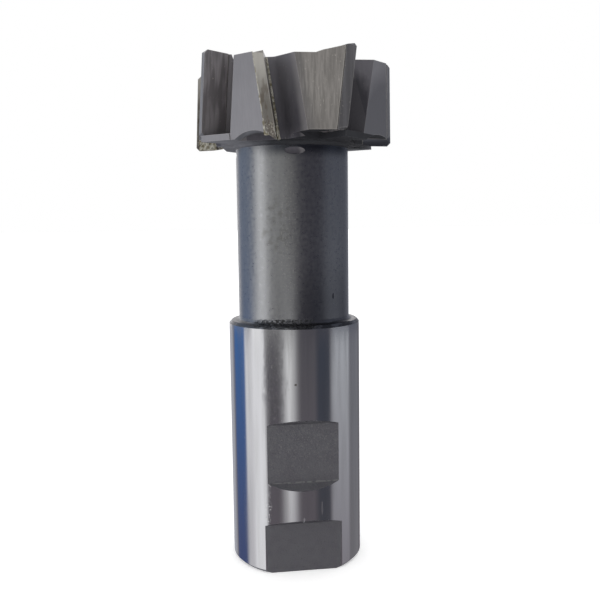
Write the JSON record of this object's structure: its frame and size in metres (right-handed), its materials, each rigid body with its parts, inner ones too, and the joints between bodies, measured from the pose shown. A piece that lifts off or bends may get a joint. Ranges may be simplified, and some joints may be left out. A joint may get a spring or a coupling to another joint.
{
  "type": "t-slot cutter",
  "caption": "Shank-mounted T-slot milling cutter with a slim neck and a short wide head of staggered brazed carbide teeth.",
  "frame": {"origin": "centre of the shank's end face, which the cutter stands on", "axes": "+Z along the axis from the shank to the cutting head, -Y out of the clamping flats"},
  "size_m": [0.0456, 0.0456, 0.1209],
  "materials": {
    "tool_steel": "ground shank, darkened turned neck and milled head",
    "carbide": "ground tungsten carbide with light braze stains",
    "braze": "dull pale gold brazing alloy"
  },
  "bodies": {
    "root": {"cutter_body": "tool_steel", "carbide_tip_1": "carbide", "carbide_tip_2": "carbide", "carbide_tip_3": "carbide", "carbide_tip_4": "carbide", "carbide_tip_5": "carbide", "carbide_tip_6": "carbide", "carbide_tip_7": "carbide", "carbide_tip_8": "carbide", "braze_seam_1": "braze", "braze_seam_2": "braze", "braze_seam_3": "braze", "braze_seam_4": "braze", "braze_seam_5": "braze", "braze_seam_6": "braze", "braze_seam_7": "braze", "braze_seam_8": "braze"}
  },
  "joints": []
}
